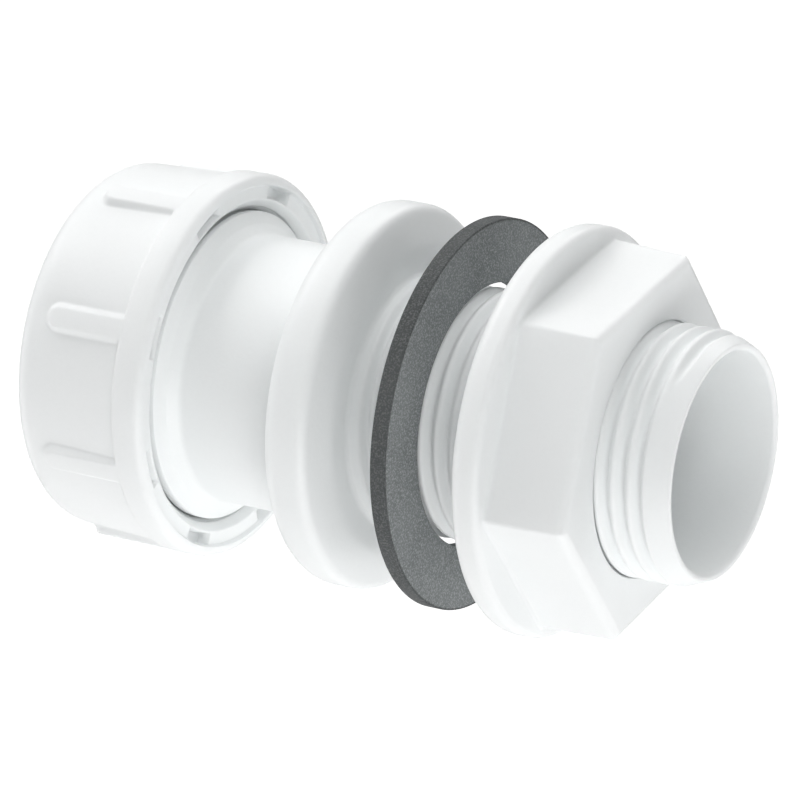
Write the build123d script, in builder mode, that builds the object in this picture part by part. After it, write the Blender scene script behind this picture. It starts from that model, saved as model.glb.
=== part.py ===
from build123d import *
import math
import os

os.makedirs("parts", exist_ok=True)

# Tank connector. X runs along the fitting towards the threaded tail, Z is up, millimetres.
# The origin is the centre of the body flange's clamping face.

# tail: parallel pipe thread 3/4, moulded a little under its nominal 26.44 mm
tail_thread_r = 13.1
tail_end_x = 36.2
tail_end_r = 12.1
tail_taper = 2.4
tail_edge_round = 0.2
tail_bore_mouth_r = 11.4
tail_bore_root_r = 10.4

# body flange, a little smaller than the compression nut's collar
flange_inset = 0.1
flange_thickness = 6.3
flange_rim_round = 2.3
flange_root_round = 1.0
flange_neck_round = 0.6
flange_chamfer_width = 2.1
flange_chamfer_drop = 1.6
flange_face_round = 4.0

# tube and gland collar
tube_r = 14.15
collar_face_x = -20.95
collar_cone_x = -20.15
collar_cone_height = 1.0
collar_root_x = -19.05
collar_root_round = 0.5
gland_thread_r = 16.3
gland_end_x = -31.5
gland_lead = 0.9

# pipe socket and seal mouth
pipe_socket_r = 11.1
pipe_stop_x = -14.0
pipe_socket_x = -26.0
seal_mouth_wall = 2.0
seal_mouth_shoulder = 1.2

# compression seal
seal_clearance = 0.05
seal_rim_inset = 1.0
seal_rim_thickness = 1.35
seal_nose_gap = 0.3
seal_bore_r = 11.15
seal_edge_round = 0.3

# slip washer
slip_washer_thickness = 1.2
slip_washer_inset = 0.5
slip_washer_bore_r = 11.3
slip_washer_chamfer = 0.15

# compression nut, from its thread outward
nut_wall_thickness = 2.5
nut_hole_r = 11.5
nut_hole_round = 0.5
nut_thread_clearance = 0.05
nut_mouth_clearance = 0.45
nut_face_width = 2.4
nut_land_width = 1.1
nut_land_step = 0.4
nut_land_slope = 0.2
nut_collar_height = 0.55
nut_collar_step = 0.35
nut_collar_round = 0.3
nut_barrel_draft = 0.55
nut_end_round = 2.7
nut_collar_width = 3.25
nut_mouth_x = -20.2
nut_mouth_round = 0.95
nut_mouth_chamfer = 0.75
nut_mouth_dish = 1.25
nut_mouth_depth = 1.5
nut_relief_cone = 0.5

rib_count = 8
rib_phase = 18.0
rib_drop = 0.05
rib_top_width = 2.4
rib_start_x = -32.7
rib_sink = 0.6
rib_taper = 26.0
rib_tip_round = 1.3
rib_collar_overlap = 2.0

pocket_width = 4.3
pocket_height = 1.2
pocket_margin = 1.05
pocket_depth = 1.2
pocket_entry = 0.5

# tank washer
washer_x = 6.9
washer_thickness = 1.75
washer_overhang = 0.15
washer_hole_clearance = 0.6

# backnut
backnut_x = 16.1
backnut_overhang = 1.05
backnut_flange_thickness = 3.4
backnut_back_round = 1.6
backnut_front_round = 0.8
backnut_front_x = 28.3
backnut_corner_inset = 1.15
backnut_draft = 2.1
backnut_corner_round = 0.6
backnut_base_round = 0.4
backnut_front_edge_round = 1.0
backnut_clearance = 0.05
backnut_bore_chamfer = 0.15
backnut_phase = 38.0


def corners(section, spots):
    """The section's vertices nearest to the given points."""
    return [section.vertices().sort_by_distance(Vector(x, r, 0))[0] for x, r in spots]


def radial_plane(angle, r, x=0.0):
    """A plane facing outward at a radius; angle is taken from +Z towards -Y, local x runs along +X."""
    a = math.radians(angle)
    outward = Vector(0, -math.sin(a), math.cos(a))
    return Plane(origin=Vector(x, 0, 0) + outward * r, x_dir=(1, 0, 0), z_dir=outward)


# shared radii, outward from the gland thread to the compression nut's collar and the body flange
nut_bore_r = gland_thread_r + nut_thread_clearance
nut_mouth_r = nut_bore_r + nut_mouth_clearance
nut_land_r = nut_mouth_r + nut_face_width
nut_collar_r = nut_land_r + nut_land_width
flange_r = nut_collar_r - flange_inset

# connector body
flange_back_x = -flange_thickness
collar_cone_r = tube_r + collar_cone_height
seal_mouth_r = gland_thread_r - seal_mouth_wall
seal_mouth_root_r = pipe_socket_r + seal_mouth_shoulder
with BuildPart() as connector_body:
    with BuildSketch(Plane.XZ) as body_section:
        with BuildLine():
            Polyline(
                (gland_end_x, seal_mouth_r),
                (gland_end_x, gland_thread_r - gland_lead),
                (gland_end_x + gland_lead, gland_thread_r),
                (collar_face_x, gland_thread_r),
                (collar_cone_x, collar_cone_r),
                (collar_root_x, tube_r),
                (flange_back_x, tube_r),
                (flange_back_x, flange_r),
                (-flange_chamfer_width, flange_r),
                (0, flange_r - flange_chamfer_drop),
                (0, tail_thread_r),
                (tail_end_x - tail_taper, tail_thread_r),
                (tail_end_x, tail_end_r),
                (tail_end_x, tail_bore_mouth_r),
                (pipe_stop_x, tail_bore_root_r),
                (pipe_stop_x, pipe_socket_r),
                (pipe_socket_x, pipe_socket_r),
                (pipe_socket_x, seal_mouth_root_r),
                close=True,
            )
        make_face()
        fillet(corners(body_section, [(flange_back_x, flange_r)]), flange_rim_round)
        fillet(corners(body_section, [(0, flange_r - flange_chamfer_drop)]), flange_face_round)
        fillet(corners(body_section, [(flange_back_x, tube_r)]), flange_root_round)
        fillet(corners(body_section, [(0, tail_thread_r)]), flange_neck_round)
        fillet(corners(body_section, [(collar_root_x, tube_r)]), collar_root_round)
        fillet(corners(body_section, [(tail_end_x, tail_end_r), (tail_end_x, tail_bore_mouth_r)]), tail_edge_round)
    revolve(axis=Axis.X)
connector_body.part.label = "connector_body"
export_step(connector_body.part, "parts/connector_body.step")

# compression seal, relaxed in the body's conical mouth
seal_front_x = gland_end_x - seal_clearance
seal_back_x = seal_front_x - seal_rim_thickness
seal_nose_x = pipe_socket_x - seal_nose_gap
seal_rim_r = gland_thread_r - seal_rim_inset
mouth_slope = (seal_mouth_r - seal_mouth_root_r) / (pipe_socket_x - gland_end_x)
seal_nose_r = seal_mouth_root_r + mouth_slope * seal_nose_gap - seal_clearance
with BuildPart() as compression_seal:
    with BuildSketch(Plane.XZ) as seal_section:
        with BuildLine():
            Polyline(
                (seal_back_x, seal_bore_r),
                (seal_back_x, seal_rim_r),
                (seal_front_x, seal_rim_r),
                (seal_front_x, seal_mouth_r - seal_clearance),
                (seal_nose_x, seal_nose_r),
                (seal_nose_x, seal_bore_r),
                close=True,
            )
        make_face()
        fillet(corners(seal_section, [(seal_nose_x, seal_nose_r), (seal_back_x, seal_rim_r)]), seal_edge_round)
    revolve(axis=Axis.X)
compression_seal.part.label = "compression_seal"
export_step(compression_seal.part, "parts/compression_seal.step")

# slip washer
slip_back_x = seal_back_x - slip_washer_thickness
slip_washer_r = gland_thread_r - slip_washer_inset
with BuildPart() as slip_washer:
    with BuildSketch(Plane.YZ.offset(slip_back_x)):
        Circle(slip_washer_r)
        Circle(slip_washer_bore_r, mode=Mode.SUBTRACT)
    extrude(amount=slip_washer_thickness)
    chamfer(slip_washer.edges().filter_by(GeomType.CIRCLE), slip_washer_chamfer)
slip_washer.part.label = "slip_washer"
export_step(slip_washer.part, "parts/slip_washer.step")

# compression nut
nut_end_x = slip_back_x - nut_wall_thickness
nut_barrel_r = nut_collar_r - nut_collar_height
nut_end_r = nut_barrel_r - nut_barrel_draft
nut_collar_x = nut_mouth_x - nut_collar_width
nut_mouth_bore_x = nut_mouth_x - nut_mouth_dish
nut_relief_x = nut_mouth_bore_x - nut_mouth_depth
with BuildPart() as compression_nut:
    with BuildSketch(Plane.XZ) as nut_section:
        with BuildLine():
            Polyline(
                (nut_end_x, nut_hole_r),
                (nut_end_x, nut_end_r),
                (nut_collar_x - nut_collar_step, nut_barrel_r),
                (nut_collar_x, nut_collar_r),
                (nut_mouth_x, nut_collar_r),
                (nut_mouth_x, nut_land_r),
                (nut_mouth_x - nut_land_step, nut_land_r - nut_land_slope),
                (nut_mouth_x - nut_land_step, nut_mouth_r + nut_mouth_chamfer),
                (nut_mouth_bore_x, nut_mouth_r),
                (nut_relief_x, nut_mouth_r),
                (nut_relief_x - nut_relief_cone, nut_bore_r),
                (slip_back_x, nut_bore_r),
                (slip_back_x, nut_hole_r),
                close=True,
            )
        make_face()
        fillet(corners(nut_section, [(nut_end_x, nut_end_r)]), nut_end_round)
        fillet(corners(nut_section, [(nut_end_x, nut_hole_r)]), nut_hole_round)
        fillet(corners(nut_section, [(nut_mouth_x, nut_collar_r)]), nut_mouth_round)
        fillet(corners(nut_section, [(nut_collar_x, nut_collar_r)]), nut_collar_round)
    revolve(axis=Axis.X)
    rib_top_r = nut_collar_r - rib_drop
    rib_foot_r = nut_end_r - rib_sink
    rib_growth = (rib_top_r - rib_foot_r) * math.tan(math.radians(rib_taper))
    rib_left_x = rib_start_x - rib_growth
    rib_right_x = nut_collar_x + rib_collar_overlap
    for k in range(rib_count):
        with BuildSketch(radial_plane(rib_phase + 360 / rib_count * k, rib_foot_r)) as rib_plan:
            with Locations(((rib_left_x + rib_right_x) / 2, 0)):
                Rectangle(rib_right_x - rib_left_x, rib_top_width + 2 * rib_growth)
            fillet(rib_plan.vertices().sort_by(Axis.X)[:2], rib_tip_round)
        extrude(amount=rib_top_r - rib_foot_r, taper=rib_taper)
    pocket_inner_r = nut_mouth_r + pocket_margin
    pocket_floor_x = nut_mouth_x - nut_land_step - pocket_depth
    pocket_open_x = nut_mouth_x + pocket_entry
    for k in range(rib_count):
        with BuildSketch(radial_plane(rib_phase + 360 / rib_count * k, pocket_inner_r)):
            with Locations(((pocket_floor_x + pocket_open_x) / 2, 0)):
                Rectangle(pocket_open_x - pocket_floor_x, pocket_width)
        extrude(amount=pocket_height, mode=Mode.SUBTRACT)
compression_nut.part.label = "compression_nut"
export_step(compression_nut.part, "parts/compression_nut.step")

# tank washer
washer_r = flange_r + washer_overhang
washer_hole_r = tail_thread_r + washer_hole_clearance
with BuildPart() as tank_washer:
    with BuildSketch(Plane.YZ.offset(washer_x)):
        Circle(washer_r)
        Circle(washer_hole_r, mode=Mode.SUBTRACT)
    extrude(amount=washer_thickness)
tank_washer.part.label = "tank_washer"
export_step(tank_washer.part, "parts/tank_washer.step")

# backnut
backnut_flange_r = flange_r + backnut_overhang
backnut_corner_r = backnut_flange_r - backnut_corner_inset
hex_base_x = backnut_x + backnut_flange_thickness
backnut_bore_r = tail_thread_r + backnut_clearance
with BuildPart() as backnut:
    with BuildSketch(Plane.YZ.offset(backnut_x)):
        Circle(backnut_flange_r)
    extrude(amount=backnut_flange_thickness)
    with BuildSketch(Plane.YZ.offset(hex_base_x)) as hexagon:
        RegularPolygon(backnut_corner_r, 6, rotation=90 + backnut_phase)
        fillet(hexagon.vertices(), backnut_corner_round)
    extrude(amount=backnut_front_x - hex_base_x, taper=backnut_draft)
    front_edges = backnut.faces().sort_by(Axis.X)[-1].outer_wire().edges()
    fillet(front_edges, backnut_front_edge_round)
    base_face = backnut.faces().filter_by(Axis.X).filter_by_position(Axis.X, hex_base_x - 0.01, hex_base_x + 0.01)[0]
    fillet(base_face.inner_wires()[0].edges(), backnut_base_round)
    rim_edges = backnut.edges().filter_by(GeomType.CIRCLE).filter_by(lambda e: abs(e.radius - backnut_flange_r) < 0.001)
    fillet(rim_edges.sort_by(Axis.X)[0], backnut_back_round)
    rim_edges = backnut.edges().filter_by(GeomType.CIRCLE).filter_by(lambda e: abs(e.radius - backnut_flange_r) < 0.001)
    fillet(rim_edges.sort_by(Axis.X)[-1], backnut_front_round)
    with BuildSketch(Plane.YZ.offset(backnut_x)):
        Circle(backnut_bore_r)
    extrude(amount=backnut_front_x - backnut_x, mode=Mode.SUBTRACT)
    bore_edges = backnut.edges().filter_by(GeomType.CIRCLE).filter_by(lambda e: abs(e.radius - backnut_bore_r) < 0.001)
    chamfer(bore_edges, backnut_bore_chamfer)
backnut.part.label = "backnut"
export_step(backnut.part, "parts/backnut.step")
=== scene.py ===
import math

import bpy
import numpy as np
from mathutils import Matrix, Vector


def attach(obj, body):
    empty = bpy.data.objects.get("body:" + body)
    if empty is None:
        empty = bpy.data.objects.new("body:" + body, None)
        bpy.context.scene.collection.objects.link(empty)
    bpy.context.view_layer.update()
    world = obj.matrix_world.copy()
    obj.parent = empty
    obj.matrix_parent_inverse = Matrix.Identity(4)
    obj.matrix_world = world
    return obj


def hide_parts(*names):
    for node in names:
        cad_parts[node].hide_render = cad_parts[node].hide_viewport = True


# Tank connector in metres. X runs along the fitting to the threaded tail, Z is up,
# and the origin is the centre of the body flange's clamping face.
# Turned pieces are worked out in millimetres and made metres when their mesh is built.
# An angle round the axis starts at +Z and grows towards -Y.

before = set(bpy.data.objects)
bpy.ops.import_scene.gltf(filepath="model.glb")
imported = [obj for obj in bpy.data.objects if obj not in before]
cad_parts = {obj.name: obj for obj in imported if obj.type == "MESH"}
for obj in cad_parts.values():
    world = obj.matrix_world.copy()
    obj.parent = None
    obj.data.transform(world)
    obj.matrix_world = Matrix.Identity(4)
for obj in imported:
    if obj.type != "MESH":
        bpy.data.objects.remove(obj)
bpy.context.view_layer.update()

MM = 0.001

# Sizes are in millimetres. Radii and places repeat the solids' and follow from one another as those do,
# except where a comment names a difference. Every edge is rounded here, and the solids leave many sharp.

# tail
TAIL_THREAD_R = 13.1
TAIL_END_X = 36.2
TAIL_END_R = 12.1
TAIL_TAPER = 2.4
TAIL_TAPER_ROUND = 1.2
TAIL_BORE_MOUTH_R = 11.4
TAIL_BORE_MOUTH_ROUND = 0.45
TAIL_BORE_ROOT_R = 10.4
TAIL_NECK_ROUND = 0.6

# tube, collar, gland and pipe socket; the collar's root is rounder than the solid's
TUBE_R = 14.15
COLLAR_FACE_X = -20.95
COLLAR_CONE_X = -20.15
COLLAR_CONE_HEIGHT = 1.0
COLLAR_ROOT_X = -19.05
COLLAR_ROOT_ROUND = 1.0
GLAND_THREAD_R = 16.3
GLAND_END_X = -31.5
GLAND_LEAD = 0.9
SEAL_MOUTH_WALL = 2.0
SEAL_MOUTH_SHOULDER = 1.2
PIPE_SOCKET_R = 11.1
PIPE_SOCKET_X = -26.0
PIPE_STOP_X = -14.0

# compression nut; its thread starts nearer the mouth than the solid's bore does
NUT_CLEARANCE = 0.05
NUT_MOUTH_CLEARANCE = 0.45
NUT_FACE_WIDTH = 2.4
NUT_LAND_WIDTH = 1.1
NUT_LAND_STEP = 0.4
NUT_LAND_SLOPE = 0.2
NUT_LAND_ROUND = 0.08
NUT_COLLAR_HEIGHT = 0.55
NUT_COLLAR_WIDTH = 3.25
NUT_COLLAR_STEP = 0.35
NUT_COLLAR_ROUND = 0.45
NUT_BARREL_DRAFT = 0.55
NUT_END_ROUND = 2.7
NUT_WALL = 2.5
NUT_SEAT_X = -34.1
NUT_HOLE_R = 11.5
NUT_HOLE_ROUND = 0.5
NUT_MOUTH_X = -20.2
NUT_MOUTH_ROUND = 0.95
NUT_MOUTH_CHAMFER = 0.75
NUT_MOUTH_DISH = 1.25
NUT_RELIEF_X = -21.8
NUT_RELIEF_CONE = 0.3

# ribs on the nut's barrel, half round where the solid's are straight-sided, and a pocket in line with each
RIB_COUNT = 8
RIB_PHASE = 18.0
RIB_DROP = 0.05
RIB_START_X = -33.0
RIB_TOP_HALF = 0.95
RIB_FOOT_HALF = 1.65
POCKET_MARGIN = 1.05
POCKET_HEIGHT = 1.2
POCKET_HALF = 2.15
POCKET_DEPTH = 1.2
POCKET_SIDE_FADE = 0.12
POCKET_RIM_FADE = 0.1

# flange; its rim is rounded more tightly than the solid's, and its face is flatter
FLANGE_INSET = 0.1
FLANGE_THICKNESS = 6.3
FLANGE_BACK_ROUND = 2.3
FLANGE_ROOT_ROUND = 1.0
FLANGE_EDGE_X = -1.15
FLANGE_EDGE_ROUND = 1.3
FLANGE_FLAT_R = 16.0
FLANGE_FLAT_ROUND = 5.0

# washer
WASHER_X = 6.9
WASHER_THICKNESS = 1.75
WASHER_OVERHANG = 0.15
WASHER_CLEARANCE = 0.6
WASHER_EDGE_ROUND = 0.12

# roundings of the other edges
CRISP_EDGE = 0.1
MOULDED_EDGE = 0.15
SOFT_EDGE = 0.2
BLUNT_EDGE = 0.3

# radii that follow, outward from the gland's thread to the nut's collar, the flange and the washer
SEAL_MOUTH_R = GLAND_THREAD_R - SEAL_MOUTH_WALL
SEAL_MOUTH_ROOT_R = PIPE_SOCKET_R + SEAL_MOUTH_SHOULDER
COLLAR_CONE_R = TUBE_R + COLLAR_CONE_HEIGHT
NUT_BORE_R = GLAND_THREAD_R + NUT_CLEARANCE
NUT_MOUTH_R = NUT_BORE_R + NUT_MOUTH_CLEARANCE
NUT_LAND_R = NUT_MOUTH_R + NUT_FACE_WIDTH
NUT_COLLAR_R = NUT_LAND_R + NUT_LAND_WIDTH
NUT_BARREL_R = NUT_COLLAR_R - NUT_COLLAR_HEIGHT
NUT_END_R = NUT_BARREL_R - NUT_BARREL_DRAFT
RIB_TOP_R = NUT_COLLAR_R - RIB_DROP
POCKET_INNER_R = NUT_MOUTH_R + POCKET_MARGIN
POCKET_OUTER_R = POCKET_INNER_R + POCKET_HEIGHT
FLANGE_R = NUT_COLLAR_R - FLANGE_INSET
WASHER_R = FLANGE_R + WASHER_OVERHANG
WASHER_HOLE_R = TAIL_THREAD_R + WASHER_CLEARANCE

# places that follow along the axis
NUT_END_X = NUT_SEAT_X - NUT_WALL
NUT_COLLAR_X = NUT_MOUTH_X - NUT_COLLAR_WIDTH
NUT_MOUTH_BORE_X = NUT_MOUTH_X - NUT_MOUTH_DISH
NUT_FACE_X = NUT_MOUTH_X - NUT_LAND_STEP

# threads; a groove's flanks lie between two shares of half a pitch, measured from the crest
FLANK_START = 0.12
FLANK_END = 0.94
TAIL_PITCH = 1.814
TAIL_THREAD_DEPTH = 0.85
TAIL_CREST_AT_TOP = 29.73
GLAND_PITCH = 2.309
GLAND_THREAD_DEPTH = 1.25
GLAND_CREST_AT_TOP = -25.0
NUT_THREAD_DEPTH = 0.8

# The tail's thread comes in past the flange's neck. Its last groove is the third past the crest named above,
# and 35 degrees past the top it fades, between two shares of a turn, to the rest of its depth.
TAIL_THREAD_START_X = 0.9
TAIL_THREAD_FULL_X = 2.1
TAIL_LAST_TURN = 2 + 35 / 360
TAIL_FADE_BEFORE = 0.06
TAIL_FADE_AFTER = 0.015
TAIL_LAST_REST = 0.22

# The gland's and the nut's threads fade out between two distances short of a shoulder, and the nut's comes in
# between two distances past its seat.
THREAD_LAST_FULL = 1.4
THREAD_LAST_END = 0.6
NUT_THREAD_START = 0.3
NUT_THREAD_FULL = 1.2

# how far round the axis and along an outline the surfaces are divided
ROUND_STEPS = 240
TAIL_RUN = 0.18
GLAND_RUN = 0.24
BARREL_RUN = 0.28
MOUTH_RUN = 0.13
BORE_RUN = 0.33
WASHER_RUN = 0.6
PLAIN_RUN = 4.0
RIB_NEAR_ANGLE = 7.6
RIB_NEAR_POINTS = 37
RIB_FAR_POINTS = 14

# margins and bands that tell one stretch of an outline from the next
TAIL_NECK_X = 0.3
TAIL_WALL_MARGIN = 0.3
GLAND_CREST_BAND = 0.3
GLAND_LEAD_BAND = 1.4
BARREL_BAND = 1.0
BARREL_WALL_MARGIN = 0.2
BORE_BAND = 0.05


# shapes

def rounded_path(corners, arc_steps=8):
    """A closed path through corners (x, r, rounding): each corner becomes a tangent arc of that radius,
    sampled at equal angles between the two points where it leaves the straight runs."""
    spots = np.array([c[:2] for c in corners], float)
    rounds = np.array([c[2] for c in corners], float)
    path = []
    befores, afters = np.roll(spots, 1, 0), np.roll(spots, -1, 0)
    for spot, before, after, radius in zip(spots, befores, afters, rounds):
        one = (before - spot) / np.linalg.norm(before - spot)
        two = (after - spot) / np.linalg.norm(after - spot)
        half = math.acos(float(np.clip(one @ two, -1, 1))) / 2
        middle = spot + (one + two) / np.linalg.norm(one + two) * radius / math.sin(half)
        start = spot + one * radius / math.tan(half) - middle
        end = spot + two * radius / math.tan(half) - middle
        sweep = math.atan2(start[0] * end[1] - start[1] * end[0], start @ end)
        turn = np.linspace(0, sweep, arc_steps + 1)[:, None]
        across = np.array([-start[1], start[0]])
        path.append(middle + start * np.cos(turn) + across * np.sin(turn))
    return np.concatenate(path)


def divided(path, longest):
    """The same closed path with every run cut into equal parts. None is longer than its limit, which longest
    works out from the runs' middle points."""
    ends = np.roll(path, -1, 0)
    middles = (path + ends) / 2
    limits = longest(middles[:, 0], middles[:, 1])
    counts = np.maximum(1, np.ceil(np.linalg.norm(ends - path, axis=1) / limits)).astype(int)
    run = np.repeat(np.arange(len(path)), counts)
    first = np.repeat(np.cumsum(counts) - counts, counts)
    share = (np.arange(len(run)) - first) / counts[run]
    return path[run] + (ends - path)[run] * share[:, None]


def soft_step(value, low, high):
    """0 below low, 1 above high, and a smooth cubic between."""
    t = np.clip((value - low) / (high - low), 0, 1)
    return t * t * (3 - 2 * t)


def soft_edge(value, place, fade):
    """0 before a place and 1 after it, by a smooth step that reaches as far as fade to each side."""
    return soft_step(value, place - fade, place + fade)


def mesh_object(name, points, faces):
    """A mesh object from whole arrays of points in metres and quads, smooth-shaded, its faces turned outward
    by the sign of the volume that they enclose."""
    corner = points[faces]
    volume = np.einsum("ij,ij->i", corner[:, 0], np.cross(corner[:, 1], corner[:, 2])).sum()
    volume += np.einsum("ij,ij->i", corner[:, 0], np.cross(corner[:, 2], corner[:, 3])).sum()
    if volume < 0:
        faces = faces[:, ::-1]
    mesh = bpy.data.meshes.new(name)
    mesh.from_pydata(points, [], faces.tolist())
    mesh.polygons.foreach_set("use_smooth", np.ones(len(faces), bool))
    mesh.update()
    piece = bpy.data.objects.new(name, mesh)
    bpy.context.scene.collection.objects.link(piece)
    return piece


def turned(name, x, r, angles):
    """A ring-shaped closed surface: the point (profile i, angle j) lies at x[i, j] along the axis and r[i, j]
    from it, at angles[j] from +Z towards -Y. Both directions close on themselves."""
    rows, columns = r.shape
    points = np.stack([x, -r * np.sin(angles), r * np.cos(angles)], -1).reshape(-1, 3) * MM
    i, j = np.meshgrid(np.arange(rows), np.arange(columns), indexing="ij")
    down, across = (i + 1) % rows, (j + 1) % columns
    faces = np.stack([i * columns + j, i * columns + across, down * columns + across, down * columns + j], -1)
    return mesh_object(name, points, faces.reshape(-1, 4))


def spread_round(path, angles):
    """The path's two coordinates repeated for every angle, as grids of path point by angle."""
    return np.repeat(path[:, :1], len(angles), 1), np.repeat(path[:, 1:], len(angles), 1)


def even_angles():
    """Equal steps once round the axis."""
    return np.linspace(-np.pi, np.pi, ROUND_STEPS, endpoint=False)


# threads

def groove(x, angles, pitch, crest_at_top):
    """How deep a right-hand thread's groove is at (x, angle), 0 on the crest and 1 at the root. The distance
    along the axis to the nearest crest, whose place grows by one pitch a turn, goes through a flank with
    rounded ends."""
    turns = (x - crest_at_top) / pitch - angles / (2 * np.pi)
    away = 2 * np.abs(turns - np.round(turns))
    return soft_step(away, FLANK_START, FLANK_END)


def short_of(x, shoulder):
    """1 where a thread is whole, falling to 0 shortly before the shoulder that ends it."""
    return 1 - soft_step(x, shoulder - THREAD_LAST_FULL, shoulder - THREAD_LAST_END)


def tail_thread(x, angles):
    """The tail's groove in millimetres. It fades in past the neck. The groove's number plus the share of a
    turn since the top is the place along its helix, and past the last turn a rest of the depth is left."""
    number = np.round((x - TAIL_CREST_AT_TOP) / TAIL_PITCH - 0.5 - angles / (2 * np.pi))
    along = number + angles / (2 * np.pi)
    past_last = soft_step(along, TAIL_LAST_TURN - TAIL_FADE_BEFORE, TAIL_LAST_TURN + TAIL_FADE_AFTER)
    depth = groove(x, angles, TAIL_PITCH, TAIL_CREST_AT_TOP) * TAIL_THREAD_DEPTH
    depth = depth * soft_step(x, TAIL_THREAD_START_X, TAIL_THREAD_FULL_X)
    return depth * (1 - (1 - TAIL_LAST_REST) * past_last)


def gland_thread(x, angles):
    """The gland's groove in millimetres, faded out before the collar."""
    depth = groove(x, angles, GLAND_PITCH, GLAND_CREST_AT_TOP) * GLAND_THREAD_DEPTH
    return depth * short_of(x, COLLAR_FACE_X)


def nut_thread(x, angles):
    """The nut's groove in millimetres. It winds as the gland's does and fades at the seat and the relief."""
    depth = groove(x, angles, GLAND_PITCH, GLAND_CREST_AT_TOP) * NUT_THREAD_DEPTH
    depth = depth * soft_step(x, NUT_SEAT_X + NUT_THREAD_START, NUT_SEAT_X + NUT_THREAD_FULL)
    return depth * short_of(x, NUT_RELIEF_X)


# connector body

def on_tail(x, r):
    """Whether a point of the body's outline is on the outside of the tail."""
    return (x > TAIL_NECK_X) & (r > TAIL_BORE_MOUTH_R + TAIL_WALL_MARGIN)


def body_outline():
    """The body's closed outline, from the gland's end over the flange to the tail and back through the bore,
    finely divided where a thread is cut."""
    corners = [
        (GLAND_END_X, SEAL_MOUTH_R, CRISP_EDGE),
        (GLAND_END_X, GLAND_THREAD_R - GLAND_LEAD, SOFT_EDGE),
        (GLAND_END_X + GLAND_LEAD, GLAND_THREAD_R, SOFT_EDGE),
        (COLLAR_FACE_X, GLAND_THREAD_R, MOULDED_EDGE),
        (COLLAR_CONE_X, COLLAR_CONE_R, BLUNT_EDGE),
        (COLLAR_ROOT_X, TUBE_R, COLLAR_ROOT_ROUND),
        (-FLANGE_THICKNESS, TUBE_R, FLANGE_ROOT_ROUND),
        (-FLANGE_THICKNESS, FLANGE_R, FLANGE_BACK_ROUND),
        (FLANGE_EDGE_X, FLANGE_R, FLANGE_EDGE_ROUND),
        (0, FLANGE_FLAT_R, FLANGE_FLAT_ROUND),
        (0, TAIL_THREAD_R, TAIL_NECK_ROUND),
        (TAIL_END_X - TAIL_TAPER, TAIL_THREAD_R, TAIL_TAPER_ROUND),
        (TAIL_END_X, TAIL_END_R, MOULDED_EDGE),
        (TAIL_END_X, TAIL_BORE_MOUTH_R, TAIL_BORE_MOUTH_ROUND),
        (PIPE_STOP_X, TAIL_BORE_ROOT_R, CRISP_EDGE),
        (PIPE_STOP_X, PIPE_SOCKET_R, CRISP_EDGE),
        (PIPE_SOCKET_X, PIPE_SOCKET_R, CRISP_EDGE),
        (PIPE_SOCKET_X, SEAL_MOUTH_ROOT_R, SOFT_EDGE),
    ]

    def longest(x, r):
        on_gland = (x < COLLAR_FACE_X) & (r > GLAND_THREAD_R - GLAND_CREST_BAND)
        return np.select([on_tail(x, r), on_gland], [TAIL_RUN, GLAND_RUN], PLAIN_RUN)

    return divided(rounded_path(corners), longest)


def threaded_body():
    """The body's outline carried round the axis. On the tail and the gland the radius is the outline's or the
    thread's, whichever is less."""
    angles = even_angles()
    x, r = spread_round(body_outline(), angles)
    r = np.where(on_tail(x, r), np.minimum(r, TAIL_THREAD_R - tail_thread(x, angles)), r)
    on_gland = (x < COLLAR_FACE_X) & (r > GLAND_THREAD_R - GLAND_LEAD_BAND)
    r = np.where(on_gland, np.minimum(r, GLAND_THREAD_R - gland_thread(x, angles)), r)
    return turned("threaded_body", x, r, angles)


# compression nut

def on_mouth(x, r):
    """Whether a point of the nut's outline is on the mouth's sunk face or its dish."""
    return (x > NUT_MOUTH_BORE_X) & (r < NUT_LAND_R)


def on_bore(x, r):
    """Whether a point of the nut's outline is on the threaded bore."""
    return (x < NUT_RELIEF_X - NUT_RELIEF_CONE + BORE_BAND) & (np.abs(r - NUT_BORE_R) < BORE_BAND)


def nut_outline():
    """The nut's closed outline, from its hole over the end, barrel and collar to the mouth and back through
    the bore, finely divided where ribs, pockets and thread are shaped."""
    corners = [
        (NUT_END_X, NUT_HOLE_R, NUT_HOLE_ROUND),
        (NUT_END_X, NUT_END_R, NUT_END_ROUND),
        (NUT_COLLAR_X - NUT_COLLAR_STEP, NUT_BARREL_R, BLUNT_EDGE),
        (NUT_COLLAR_X, NUT_COLLAR_R, NUT_COLLAR_ROUND),
        (NUT_MOUTH_X, NUT_COLLAR_R, NUT_MOUTH_ROUND),
        (NUT_MOUTH_X, NUT_LAND_R, NUT_LAND_ROUND),
        (NUT_FACE_X, NUT_LAND_R - NUT_LAND_SLOPE, MOULDED_EDGE),
        (NUT_FACE_X, NUT_MOUTH_R + NUT_MOUTH_CHAMFER, BLUNT_EDGE),
        (NUT_MOUTH_BORE_X, NUT_MOUTH_R, MOULDED_EDGE),
        (NUT_RELIEF_X, NUT_MOUTH_R, CRISP_EDGE),
        (NUT_RELIEF_X - NUT_RELIEF_CONE, NUT_BORE_R, CRISP_EDGE),
        (NUT_SEAT_X, NUT_BORE_R, SOFT_EDGE),
        (NUT_SEAT_X, NUT_HOLE_R, CRISP_EDGE),
    ]

    def longest(x, r):
        on_barrel = (x < NUT_COLLAR_X - NUT_COLLAR_STEP) & (r > NUT_END_R - BARREL_BAND)
        stretches = [on_barrel, on_mouth(x, r), on_bore(x, r)]
        return np.select(stretches, [BARREL_RUN, MOUTH_RUN, BORE_RUN], PLAIN_RUN)

    return divided(rounded_path(corners), longest)


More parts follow.
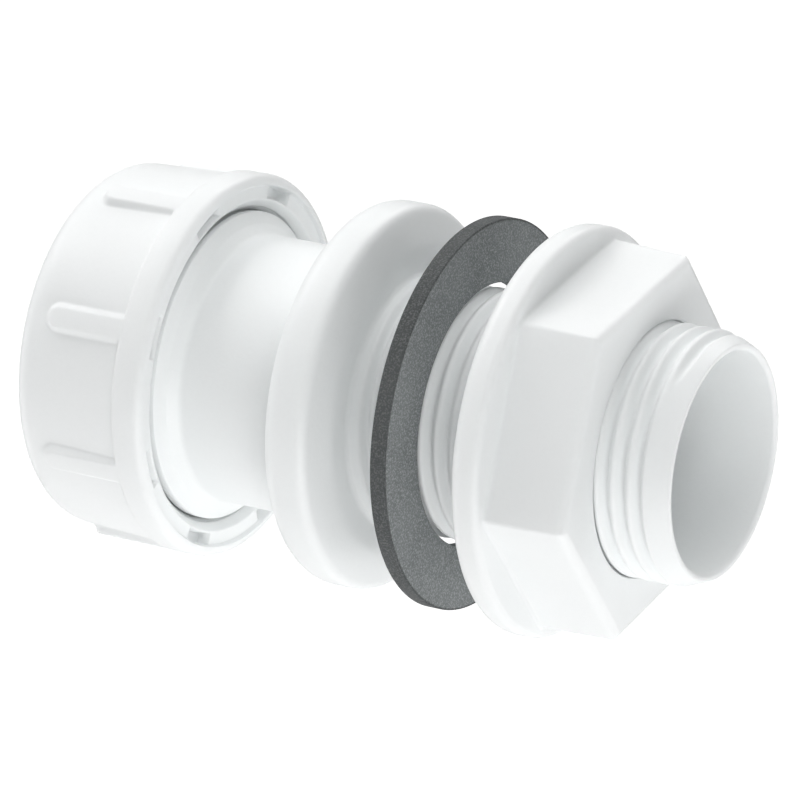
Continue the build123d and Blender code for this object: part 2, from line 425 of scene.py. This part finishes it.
def with_ribs(x, r, off):
    """The radius with the ribs: it grows to their top by a smooth step of the distance to the nearest rib's
    middle line, off being the angle from it, which makes half-round bars with round ends."""
    aside = np.hypot(r * off, np.maximum(RIB_START_X + RIB_FOOT_HALF - x, 0))
    lift = 1 - soft_step(aside, RIB_TOP_HALF, RIB_FOOT_HALF)
    on_barrel = (x < NUT_COLLAR_X) & (r > NUT_BORE_R + BARREL_WALL_MARGIN) & (r < RIB_TOP_R)
    return np.where(on_barrel, r + (RIB_TOP_R - r) * lift, r)


def with_pockets(x, r, off):
    """The place along the axis with the pockets: the mouth sinks to one flat floor between soft edges, set by
    the distance to each pocket's middle line and by the radius."""
    floor = NUT_FACE_X - POCKET_DEPTH
    sunk = (x - floor) * (1 - soft_edge(np.abs(r * off), POCKET_HALF, POCKET_SIDE_FADE))
    sunk = sunk * soft_edge(r, POCKET_INNER_R, POCKET_RIM_FADE)
    sunk = sunk * (1 - soft_edge(r, POCKET_OUTER_R, POCKET_RIM_FADE))
    return np.where(on_mouth(x, r), x - sunk, x)


def ribbed_nut():
    """The nut's outline carried round the axis, with ribs, pockets and the bore's thread. The angles are
    closer together near each rib and pocket."""
    spacing = 360 / RIB_COUNT
    near = np.linspace(-RIB_NEAR_ANGLE, RIB_NEAR_ANGLE, RIB_NEAR_POINTS)
    far = np.linspace(RIB_NEAR_ANGLE, spacing - RIB_NEAR_ANGLE, RIB_FAR_POINTS)[1:-1]
    sector = np.concatenate([near, far])
    middles = RIB_PHASE + spacing * np.arange(RIB_COUNT)
    angles = np.radians((middles[:, None] + sector).ravel())
    off = np.tile(np.radians(np.where(sector > spacing / 2, sector - spacing, sector)), RIB_COUNT)
    x, r = spread_round(nut_outline(), angles)
    r = with_ribs(x, r, off)
    x = with_pockets(x, r, off)
    r = np.where(on_bore(x, r), NUT_BORE_R + nut_thread(x, angles), r)
    return turned("ribbed_nut", x, r, angles)


# tank washer

def cut_washer():
    """The washer's rectangular outline, its corners slightly rounded, carried round the axis."""
    front = WASHER_X + WASHER_THICKNESS
    spots = [(WASHER_X, WASHER_HOLE_R), (WASHER_X, WASHER_R), (front, WASHER_R), (front, WASHER_HOLE_R)]
    corners = [(x, r, WASHER_EDGE_ROUND) for x, r in spots]
    angles = even_angles()
    outline = divided(rounded_path(corners), lambda x, r: WASHER_RUN)
    x, r = spread_round(outline, angles)
    return turned("cut_washer", x, r, angles)


# materials

BROAD_DETAIL = 3.0
FINE_DETAIL = 2.0

# stretches of the noise that are spread over the whole of an effect
TINT_NOISE = (0.35, 0.65)
SPECK_NOISE = (0.46, 0.68)
ROUGHNESS_NOISE = (0.3, 0.7)

# millimetres
BUMP_DEPTH = 0.1
SCATTER_DEPTH = 1.5
RIM_EDGE = 0.15

# painted shade on the washer's outer rim: how much of the colour is left on it and on its edge, and where the
# edge is darkest
RIM_SHADE = 0.42
RIM_SHADE_LINE = 0.36
RIM_SHADE_LINE_AT = 0.6


def range_node(nodes, low, high):
    """A Map Range node that spreads the values from low to high over 0 to 1."""
    node = nodes.new("ShaderNodeMapRange")
    node.inputs["From Min"].default_value = low
    node.inputs["From Max"].default_value = high
    return node


def colour_mix(nodes):
    """A Mix node for two colours."""
    node = nodes.new("ShaderNodeMix")
    node.data_type = "RGBA"
    return node


def grain_group():
    """The finish that moulded plastic and moulded rubber share: broad, faint variation of the tint, fine
    specks, and a height for the bump. Noise at two sizes on object coordinates drives all three."""
    group = bpy.data.node_groups.new("moulded_grain", "ShaderNodeTree")
    sockets = group.interface
    for name in ("Tint", "Shade", "Speck"):
        sockets.new_socket(name=name, in_out="INPUT", socket_type="NodeSocketColor")
    for name in ("Broad Scale", "Fine Scale", "Speck Amount", "Roughness Low", "Roughness High"):
        sockets.new_socket(name=name, in_out="INPUT", socket_type="NodeSocketFloat")
    sockets.new_socket(name="Color", in_out="OUTPUT", socket_type="NodeSocketColor")
    sockets.new_socket(name="Roughness", in_out="OUTPUT", socket_type="NodeSocketFloat")
    sockets.new_socket(name="Height", in_out="OUTPUT", socket_type="NodeSocketFloat")
    nodes, links = group.nodes, group.links
    inward = nodes.new("NodeGroupInput")
    outward = nodes.new("NodeGroupOutput")

    place = nodes.new("ShaderNodeTexCoord")
    broad = nodes.new("ShaderNodeTexNoise")
    broad.inputs["Detail"].default_value = BROAD_DETAIL
    fine = nodes.new("ShaderNodeTexNoise")
    fine.inputs["Detail"].default_value = FINE_DETAIL
    links.new(place.outputs["Object"], broad.inputs["Vector"])
    links.new(place.outputs["Object"], fine.inputs["Vector"])
    links.new(inward.outputs["Broad Scale"], broad.inputs["Scale"])
    links.new(inward.outputs["Fine Scale"], fine.inputs["Scale"])

    spread = range_node(nodes, *TINT_NOISE)
    tint = colour_mix(nodes)
    links.new(broad.outputs["Fac"], spread.inputs["Value"])
    links.new(spread.outputs["Result"], tint.inputs["Factor"])
    links.new(inward.outputs["Tint"], tint.inputs["A"])
    links.new(inward.outputs["Shade"], tint.inputs["B"])

    peak = range_node(nodes, *SPECK_NOISE)
    some = nodes.new("ShaderNodeMath")
    some.operation = "MULTIPLY"
    speck = colour_mix(nodes)
    links.new(fine.outputs["Fac"], peak.inputs["Value"])
    links.new(peak.outputs["Result"], some.inputs[0])
    links.new(inward.outputs["Speck Amount"], some.inputs[1])
    links.new(some.outputs["Value"], speck.inputs["Factor"])
    links.new(tint.outputs["Result"], speck.inputs["A"])
    links.new(inward.outputs["Speck"], speck.inputs["B"])
    links.new(speck.outputs["Result"], outward.inputs["Color"])

    rough = range_node(nodes, *ROUGHNESS_NOISE)
    links.new(broad.outputs["Fac"], rough.inputs["Value"])
    links.new(inward.outputs["Roughness Low"], rough.inputs["To Min"])
    links.new(inward.outputs["Roughness High"], rough.inputs["To Max"])
    links.new(rough.outputs["Result"], outward.inputs["Roughness"])
    links.new(fine.outputs["Fac"], outward.inputs["Height"])
    return group


GRAIN = grain_group()


def moulded(name, tint, shade, speck, broad, fine, specks, rough, bump, specular=0.5, scatter=0.0):
    """A Principled material whose colour, roughness and bump come from the moulded grain. Light goes a little
    way into it where scatter is above 0."""
    material = bpy.data.materials.new(name)
    material.use_nodes = True
    nodes, links = material.node_tree.nodes, material.node_tree.links
    shader = nodes["Principled BSDF"]
    grain = nodes.new("ShaderNodeGroup")
    grain.node_tree = GRAIN
    for socket, value in (
        ("Tint", (*tint, 1)),
        ("Shade", (*shade, 1)),
        ("Speck", (*speck, 1)),
        ("Broad Scale", broad),
        ("Fine Scale", fine),
        ("Speck Amount", specks),
        ("Roughness Low", rough[0]),
        ("Roughness High", rough[1]),
    ):
        grain.inputs[socket].default_value = value
    relief = nodes.new("ShaderNodeBump")
    relief.inputs["Strength"].default_value = bump
    relief.inputs["Distance"].default_value = BUMP_DEPTH * MM
    links.new(grain.outputs["Color"], shader.inputs["Base Color"])
    links.new(grain.outputs["Roughness"], shader.inputs["Roughness"])
    links.new(grain.outputs["Height"], relief.inputs["Height"])
    links.new(relief.outputs["Normal"], shader.inputs["Normal"])
    shader.inputs["Specular IOR Level"].default_value = specular
    shader.inputs["Subsurface Weight"].default_value = scatter
    shader.inputs["Subsurface Radius"].default_value = (1, 1, 1)
    shader.inputs["Subsurface Scale"].default_value = SCATTER_DEPTH * MM
    return material


def paint_rim_shade(material, radius, edge):
    """Paints shade onto the outer rim of a flat ring, by the distance from the axis: the colour is whole up
    to twice the edge's width inside the radius, darkest at the edge, and a little lighter on the rim itself."""
    nodes, links = material.node_tree.nodes, material.node_tree.links
    shader = nodes["Principled BSDF"]
    grain = shader.inputs["Base Color"].links[0].from_socket
    place = nodes.new("ShaderNodeTexCoord")
    flat = nodes.new("ShaderNodeVectorMath")
    flat.operation = "MULTIPLY"
    flat.inputs[1].default_value = (0, 1, 1)
    away = nodes.new("ShaderNodeVectorMath")
    away.operation = "LENGTH"
    along = range_node(nodes, radius - 2 * edge, radius)
    # painted shade: the ramp darkens the colour towards the rim, most on its edge
    ramp = nodes.new("ShaderNodeValToRGB")
    whole, rim = ramp.color_ramp.elements
    whole.color = (1, 1, 1, 1)
    rim.color = (RIM_SHADE, RIM_SHADE, RIM_SHADE, 1)
    line = ramp.color_ramp.elements.new(RIM_SHADE_LINE_AT)
    line.color = (RIM_SHADE_LINE, RIM_SHADE_LINE, RIM_SHADE_LINE, 1)
    shade = colour_mix(nodes)
    shade.blend_type = "MULTIPLY"
    shade.inputs["Factor"].default_value = 1.0
    links.new(place.outputs["Object"], flat.inputs[0])
    links.new(flat.outputs["Vector"], away.inputs[0])
    links.new(away.outputs["Value"], along.inputs["Value"])
    links.new(along.outputs["Result"], ramp.inputs["Fac"])
    links.new(grain, shade.inputs["A"])
    links.new(ramp.outputs["Color"], shade.inputs["B"])
    links.new(shade.outputs["Result"], shader.inputs["Base Color"])


WHITE_PLASTIC = moulded(
    "white_plastic",
    tint=(0.898, 0.918, 0.919),
    shade=(0.883, 0.904, 0.906),
    speck=(0.85, 0.868, 0.872),
    broad=70.0,
    fine=2600.0,
    specks=0.15,
    rough=(0.34, 0.42),
    bump=0.12,
    scatter=0.3,
)
NUT_PLASTIC = moulded(
    "nut_plastic",
    tint=(0.903, 0.92, 0.921),
    shade=(0.888, 0.906, 0.908),
    speck=(0.85, 0.868, 0.872),
    broad=55.0,
    fine=2600.0,
    specks=0.15,
    rough=(0.32, 0.42),
    bump=0.12,
    scatter=0.3,
)
SLIP_PLASTIC = moulded(
    "slip_plastic",
    tint=(0.72, 0.74, 0.75),
    shade=(0.68, 0.7, 0.71),
    speck=(0.6, 0.62, 0.63),
    broad=80.0,
    fine=1500.0,
    specks=0.2,
    rough=(0.45, 0.55),
    bump=0.05,
)
SEAL_RUBBER = moulded(
    "seal_rubber",
    tint=(0.02, 0.02, 0.022),
    shade=(0.026, 0.026, 0.028),
    speck=(0.05, 0.05, 0.052),
    broad=90.0,
    fine=2200.0,
    specks=0.4,
    rough=(0.6, 0.75),
    bump=0.3,
    specular=0.35,
)
WASHER_RUBBER = moulded(
    "washer_rubber",
    tint=(0.2, 0.213, 0.216),
    shade=(0.17, 0.181, 0.184),
    speck=(0.4, 0.42, 0.42),
    broad=160.0,
    fine=5400.0,
    specks=0.75,
    rough=(0.75, 0.9),
    bump=0.6,
    specular=0.3,
)
# painted shade: the washer's outer rim and its edge are darkened in colour
paint_rim_shade(WASHER_RUBBER, WASHER_R * MM, RIM_EDGE * MM)


# pieces

def finish_node(name, material):
    """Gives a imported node's object one material."""
    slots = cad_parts[name].data.materials
    slots.clear()
    slots.append(material)


def dress(piece, node, material):
    """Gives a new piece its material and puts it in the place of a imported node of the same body."""
    piece.data.materials.append(material)
    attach(piece, node)
    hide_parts(node)


dress(threaded_body(), "connector_body", WHITE_PLASTIC)
dress(ribbed_nut(), "compression_nut", NUT_PLASTIC)
dress(cut_washer(), "tank_washer", WASHER_RUBBER)

finish_node("backnut", NUT_PLASTIC)
finish_node("slip_washer", SLIP_PLASTIC)
finish_node("compression_seal", SEAL_RUBBER)


# floor and surroundings, in metres

FLOOR_Z = -1.0
FLOOR_HALF = 9.0
FLOOR_GREY = 0.93
FLOOR_GLOW = 0.25
FLOOR_WHITE = 1.1


def floor_paper():
    """Matt pale paper that glows a little, and up to paper white where the camera sees it."""
    material = bpy.data.materials.new("floor_paper")
    material.use_nodes = True
    nodes, links = material.node_tree.nodes, material.node_tree.links
    shader = nodes["Principled BSDF"]
    shader.inputs["Base Color"].default_value = (FLOOR_GREY, FLOOR_GREY, FLOOR_GREY, 1)
    shader.inputs["Roughness"].default_value = 1.0
    shader.inputs["Specular IOR Level"].default_value = 0.0
    shader.inputs["Emission Color"].default_value = (1, 1, 1, 1)
    path = nodes.new("ShaderNodeLightPath")
    glow = nodes.new("ShaderNodeMapRange")
    glow.inputs["To Min"].default_value = FLOOR_GLOW
    glow.inputs["To Max"].default_value = FLOOR_WHITE
    links.new(path.outputs["Is Camera Ray"], glow.inputs["Value"])
    links.new(glow.outputs["Result"], shader.inputs["Emission Strength"])
    return material


def plain_floor():
    """A flat square well under the object."""
    signs = ((-1, -1), (1, -1), (1, 1), (-1, 1))
    points = [(x * FLOOR_HALF, y * FLOOR_HALF, FLOOR_Z) for x, y in signs]
    mesh = bpy.data.meshes.new("floor")
    mesh.from_pydata(points, [], [(0, 1, 2, 3)])
    mesh.materials.append(floor_paper())
    floor = bpy.data.objects.new("floor", mesh)
    bpy.context.scene.collection.objects.link(floor)


def white_surroundings():
    """A world that the camera sees as paper white past the floor's edge, and that lights nothing."""
    world = bpy.data.worlds.new("white_surroundings")
    world.use_nodes = True
    nodes, links = world.node_tree.nodes, world.node_tree.links
    sky = nodes["Background"]
    sky.inputs["Color"].default_value = (1, 1, 1, 1)
    path = nodes.new("ShaderNodeLightPath")
    links.new(path.outputs["Is Camera Ray"], sky.inputs["Strength"])
    bpy.context.scene.world = world


plain_floor()
white_surroundings()


# light

# metres
SOFTBOX_DISTANCE = 1.3
SOFTBOX_SIDE = 0.8

# Azimuth and elevation in degrees, power in watts. The directions are a grid. The powers, and FLOOR_GLOW with
# them, weren't set by hand: they are rounded from a least-squares fit to the photograph's shading.
SOFTBOXES = (
    (0, 88, 5.0),
    (45, 45, 4.1),
    (135, 45, 0.9),
    (180, 45, 4.6),
    (225, 45, 1.6),
    (270, 45, 6.8),
    (315, 45, 2.8),
    (135, 10, 2.0),
    (180, 10, 0.6),
    (225, 10, 0.7),
    (270, 10, 2.2),
    (0, -25, 1.7),
    (45, -25, 7.0),
    (90, -25, 1.8),
    (135, -25, 2.5),
    (270, -25, 2.9),
    (315, -25, 1.4),
)


def direction(azimuth, elevation):
    """The unit vector from the object to a place round it. Azimuth turns from -Y towards +X and elevation is
    above the horizon, both in degrees."""
    a, e = math.radians(azimuth), math.radians(elevation)
    return Vector((math.sin(a) * math.cos(e), -math.cos(a) * math.cos(e), math.sin(e)))


def softbox(azimuth, elevation, power):
    """A square softbox that looks at the object and that the camera doesn't see."""
    place = direction(azimuth, elevation) * SOFTBOX_DISTANCE
    lamp = bpy.data.lights.new("softbox", "AREA")
    lamp.size = SOFTBOX_SIDE
    lamp.energy = power
    holder = bpy.data.objects.new("softbox", lamp)
    holder.visible_camera = False
    holder.location = place
    holder.rotation_mode = "QUATERNION"
    holder.rotation_quaternion = (-place).to_track_quat("-Z", "Y")
    bpy.context.scene.collection.objects.link(holder)


for azimuth, elevation, power in SOFTBOXES:
    softbox(azimuth, elevation, power)

bpy.context.scene.view_settings.view_transform = "Standard"


# camera

# Its place and aim, worked out from ellipses and corners read from the photograph. Angles are in degrees,
# lengths in millimetres, and the focal length is in the photograph's pixels. The line of sight passes a point
# on the axis, AIM_X, at a distance along the camera's own right and up.
CAMERA_AZIMUTH = 29.711
CAMERA_ELEVATION = 20.538
CAMERA_DISTANCE = 600.0
CAMERA_FOCAL = 5868.1
CAMERA_RIGHT = -7.133
CAMERA_UP = 1.221
AIM_X = 7.0
PHOTO_WIDTH = 800
SENSOR_WIDTH = 36.0

# what the camera sees, in metres
NEAREST = 0.01
FARTHEST = 20.0


def photo_camera():
    """The camera that took the photograph, turned by its own right, up and back directions."""
    back = direction(CAMERA_AZIMUTH, CAMERA_ELEVATION)
    right = direction(CAMERA_AZIMUTH + 90, 0)
    up = back.cross(right)
    spot = back * CAMERA_DISTANCE + right * CAMERA_RIGHT + up * CAMERA_UP + Vector((AIM_X, 0, 0))
    lens = bpy.data.cameras.new("camera")
    lens.sensor_width = SENSOR_WIDTH
    lens.lens = CAMERA_FOCAL / PHOTO_WIDTH * SENSOR_WIDTH
    lens.clip_start = NEAREST
    lens.clip_end = FARTHEST
    camera = bpy.data.objects.new("camera", lens)
    camera.matrix_world = Matrix.Translation(spot * MM) @ Matrix((right, up, back)).transposed().to_4x4()
    bpy.context.scene.collection.objects.link(camera)
    return camera


bpy.context.scene.camera = photo_camera()
